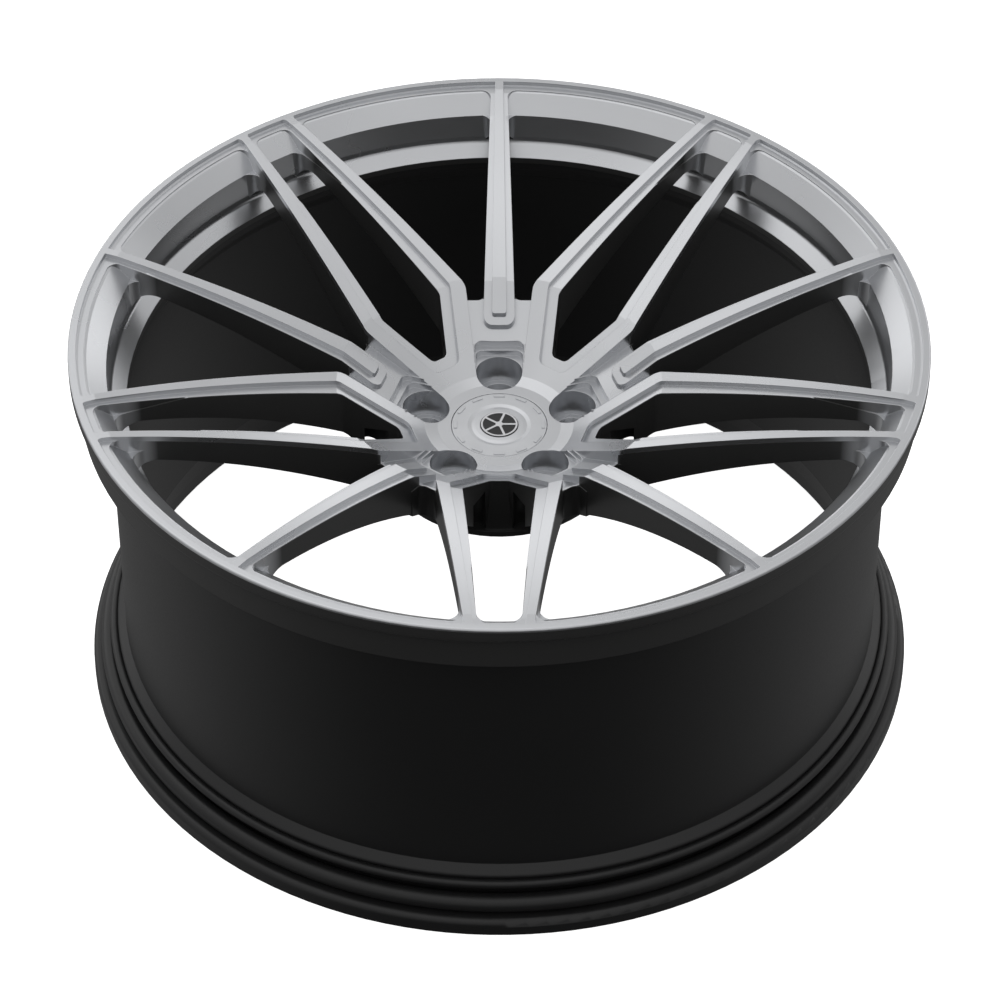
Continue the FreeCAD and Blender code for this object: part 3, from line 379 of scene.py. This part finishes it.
def coil_spring():
    """The valve core's coil spring as a wound wire."""
    low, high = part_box("core_spring")
    turns, around, sides = 7, 28, 10
    wire = 0.0002                                   # radius of the wire
    reach = (high.x - low.x) / 2 - wire
    centre_x, centre_z = (low.x + high.x) / 2, (low.z + high.z) / 2
    start, rise = low.y + wire, high.y - low.y - 2 * wire
    points, faces = [], []
    count = turns * around
    for i in range(count + 1):
        angle = 2 * math.pi * i / around
        out = Vector((math.cos(angle), 0, math.sin(angle)))
        middle = Vector((centre_x, start + rise * i / count, centre_z)) + out * reach
        for k in range(sides):
            turn = 2 * math.pi * k / sides
            points.append(middle + out * wire * math.cos(turn) + Vector((0, wire * math.sin(turn), 0)))
    for i in range(count):
        for k in range(sides):
            a, b = i * sides + k, i * sides + (k + 1) % sides
            faces.append((a, b, b + sides, a + sides))
    faces.append(tuple(range(sides)))
    faces.append(tuple(reversed(range(count * sides, (count + 1) * sides))))
    mesh = bpy.data.meshes.new("wound_spring")
    mesh.from_pydata(points, [], faces)
    mesh.polygons.foreach_set("use_smooth", [True] * len(mesh.polygons))
    mesh.materials.append(MATERIALS["core_spring"])
    spring = add_object("wound_spring", mesh)
    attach(spring, "wheel")
    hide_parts("core_spring")
    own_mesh(spring)


coil_spring()


# ---------------------------------------------------------------- studio

def pale_surface(name, mesh):
    """A plain pale surface of the studio, which only the camera sees."""
    mesh.materials.append(Shader(name).surface(color=(0.86, 0.86, 0.86, 1), roughness=0.9, specular=0.1,
                                               glow=(1, 1, 1, 1), glow_strength=1.0))
    surface = add_object(name, mesh)
    surface.visible_diffuse = False
    surface.visible_glossy = False
    surface.visible_shadow = False


def studio_room():
    """Floor under the wheel, and a wide round backdrop beyond it."""
    radius, height, count, gap = 30.0, 25.0, 48, 0.0005
    z = cad_box[0][2] - gap
    rim = [(radius * math.cos(2 * math.pi * i / count), radius * math.sin(2 * math.pi * i / count))
           for i in range(count)]
    floor = bpy.data.meshes.new("studio_floor")
    floor.from_pydata([(x, y, z) for x, y in rim], [], [tuple(range(count))])
    pale_surface("studio_floor", floor)
    wall = bpy.data.meshes.new("studio_backdrop")
    wall.from_pydata([(x, y, z) for x, y in rim] + [(x, y, z + height) for x, y in rim], [],
                     [(i, (i + 1) % count, (i + 1) % count + count, i + count) for i in range(count)])
    pale_surface("studio_backdrop", wall)


def area_light(name, location, target, size, power):
    light = bpy.data.lights.new(name, "AREA")
    light.shape = "RECTANGLE"
    light.size, light.size_y = size
    light.energy = power
    lamp = add_object(name, light)
    lamp.location = location
    lamp.rotation_euler = (Vector(target) - Vector(location)).to_track_quat("-Z", "Y").to_euler()


def sky():
    """Studio surroundings: soft grey overhead, a bright band low down at the back, and dark below.

    Each ramp goes from one (direction, brightness) pair to the other; a direction is a part of the unit vector.
    """
    world = bpy.data.worlds.new("studio_sky")
    bpy.context.scene.world = world
    world.use_nodes = True
    tree = world.node_tree
    tree.nodes.clear()
    coords = tree.nodes.new("ShaderNodeTexCoord")
    parts = tree.nodes.new("ShaderNodeSeparateXYZ")
    tree.links.new(coords.outputs["Generated"], parts.inputs[0])

    def ramp(source, start, end):
        node = tree.nodes.new("ShaderNodeMapRange")
        node.interpolation_type = "SMOOTHSTEP"
        tree.links.new(source, node.inputs["Value"])
        for key, value in zip(("From Min", "To Min", "From Max", "To Max"), start + end):
            node.inputs[key].default_value = value
        return node.outputs[0]

    def combine(operation, a, b):
        node = tree.nodes.new("ShaderNodeMath")
        node.operation = operation
        tree.links.new(a, node.inputs[0])
        tree.links.new(b, node.inputs[1])
        return node.outputs[0]

    east, north, up = parts.outputs
    overhead = combine("ADD", ramp(up, (-0.06, 0.05), (0.12, 0.42)), ramp(up, (0.3, 0.0), (0.95, 0.34)))
    sideways = combine("MULTIPLY", east, east)
    low = combine("ADD", ramp(sideways, (0.1, 0.0), (0.8, 0.22)), ramp(north, (-0.3, 0.0), (0.6, 0.13)))
    overhead = combine("ADD", overhead, combine("MULTIPLY", low, ramp(up, (-0.05, 1.0), (0.1, 0.0))))
    band = combine("MULTIPLY", ramp(north, (0.0, 0.0), (0.75, 1.0)), ramp(up, (-0.02, 0.0), (0.08, 1.0)))
    band = combine("MULTIPLY", band, ramp(up, (0.25, 0.85), (0.55, 0.0)))
    background = tree.nodes.new("ShaderNodeBackground")
    out = tree.nodes.new("ShaderNodeOutputWorld")
    tree.links.new(combine("ADD", overhead, band), background.inputs["Color"])
    tree.links.new(background.outputs[0], out.inputs[0])


def camera():
    """Long lens at the height and distance that the wheel is seen from."""
    elevation = math.radians(42.007)
    back, over_lip = 2.0087, 1.6657
    data = bpy.data.cameras.new("camera")
    data.sensor_width = 36.0
    data.lens = 147.73
    data.shift_x = 0.00075
    data.clip_end = 100.0
    view = add_object("camera", data)
    view.location = (0.0, -back, over_lip + LIP)
    direction = Vector((0.0, math.cos(elevation), -math.sin(elevation)))
    view.rotation_euler = direction.to_track_quat("-Z", "Y").to_euler()
    bpy.context.scene.camera = view


studio_room()
sky()
area_light("key", location=(-0.9, 1.2, 2.2), target=(0, 0, 0), size=(2.2, 2.2), power=5)
camera()
bpy.context.scene.view_settings.view_transform = "Standard"
bpy.context.scene.view_settings.look = "None"
